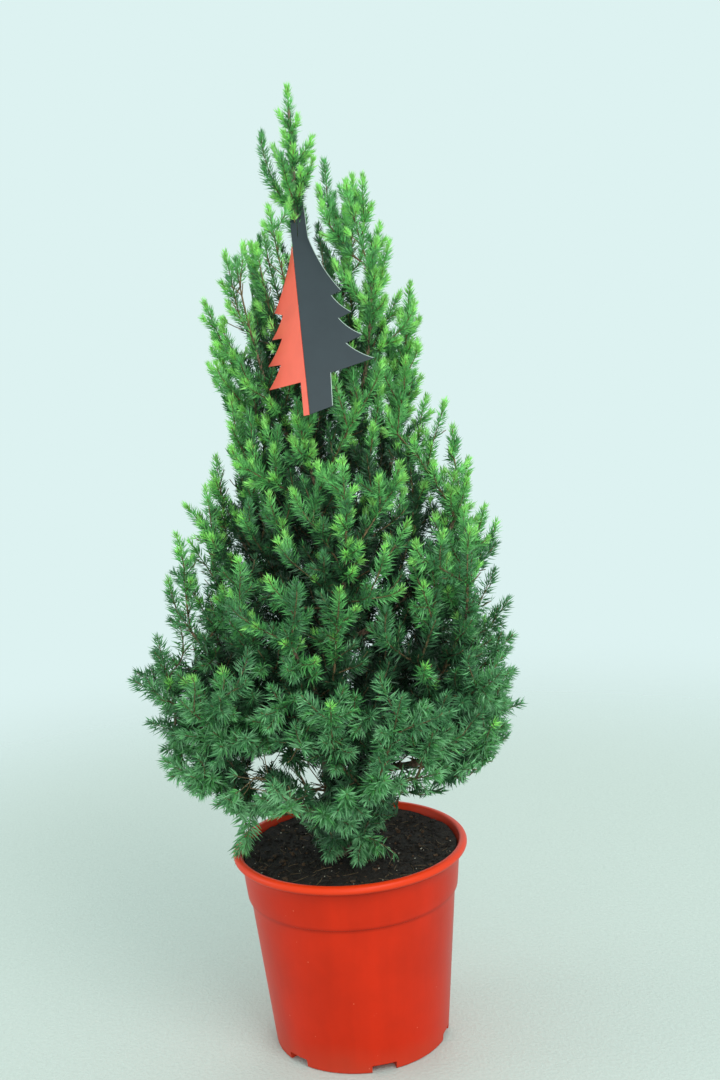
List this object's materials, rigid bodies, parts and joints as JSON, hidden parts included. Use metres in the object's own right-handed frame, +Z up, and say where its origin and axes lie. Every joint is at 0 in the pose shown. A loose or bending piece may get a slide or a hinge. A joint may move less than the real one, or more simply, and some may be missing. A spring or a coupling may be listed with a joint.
{
  "type": "potted alberta spruce",
  "caption": "Cone-shaped dwarf spruce standing in a round plastic nursery pot, with a folded hang label on its leader.",
  "frame": {"origin": "centre of the pot's flat underside, on the surface that it stands on", "axes": "+Z up along the pot's axis and the trunk; -Y towards the side that the label faces; +X to the right when seen from that side"},
  "size_m": [0.3803, 0.3596, 0.922],
  "materials": {
    "pot": "satin orange-red moulded plastic",
    "potting_mix": "damp dark peat and bark potting mix",
    "bark": "rough grey-brown bark, orange-brown on young twigs",
    "foliage": "short stiff green needles, pale yellow-green at the shoot tips",
    "label_dark": "semi-matt dark slate printed plastic card with white edges",
    "label_red": "semi-matt coral-red printed plastic card with white edges"
  },
  "bodies": {
    "root": {"bough_broad_1": "bark", "bough_broad_2": "bark", "bough_broad_3": "bark", "bough_broad_4": "bark", "bough_broad_5": "bark", "bough_high_1": "bark", "bough_high_2": "bark", "bough_high_3": "bark", "bough_low_1": "bark", "bough_low_2": "bark", "bough_low_3": "bark", "bough_low_4": "bark", "bough_low_5": "bark", "bough_middle_1": "bark", "bough_middle_2": "bark", "bough_middle_3": "bark", "bough_middle_4": "bark", "bough_skirt_1": "bark", "bough_skirt_2": "bark", "bough_skirt_3": "bark", "bough_skirt_4": "bark", "bough_top_1": "bark", "bough_top_2": "bark", "bough_upper_1": "bark", "bough_upper_2": "bark", "bough_upper_3": "bark", "foliage_broad_1": "foliage", "foliage_broad_2": "foliage", "foliage_broad_3": "foliage", "foliage_broad_4": "foliage", "foliage_broad_5": "foliage", "foliage_high_1": "foliage", "foliage_high_2": "foliage", "foliage_high_3": "foliage", "foliage_leader": "foliage", "foliage_low_1": "foliage", "foliage_low_2": "foliage", "foliage_low_3": "foliage", "foliage_low_4": "foliage", "foliage_low_5": "foliage", "foliage_middle_1": "foliage", "foliage_middle_2": "foliage", "foliage_middle_3": "foliage", "foliage_middle_4": "foliage", "foliage_skirt_1": "foliage", "foliage_skirt_2": "foliage", "foliage_skirt_3": "foliage", "foliage_skirt_4": "foliage", "foliage_top_1": "foliage", "foliage_top_2": "foliage", "foliage_upper_1": "foliage", "foliage_upper_2": "foliage", "foliage_upper_3": "foliage", "label_front": "label_dark", "label_side": "label_red", "pot": "pot", "soil": "potting_mix", "trunk": "bark"}
  },
  "joints": []
}
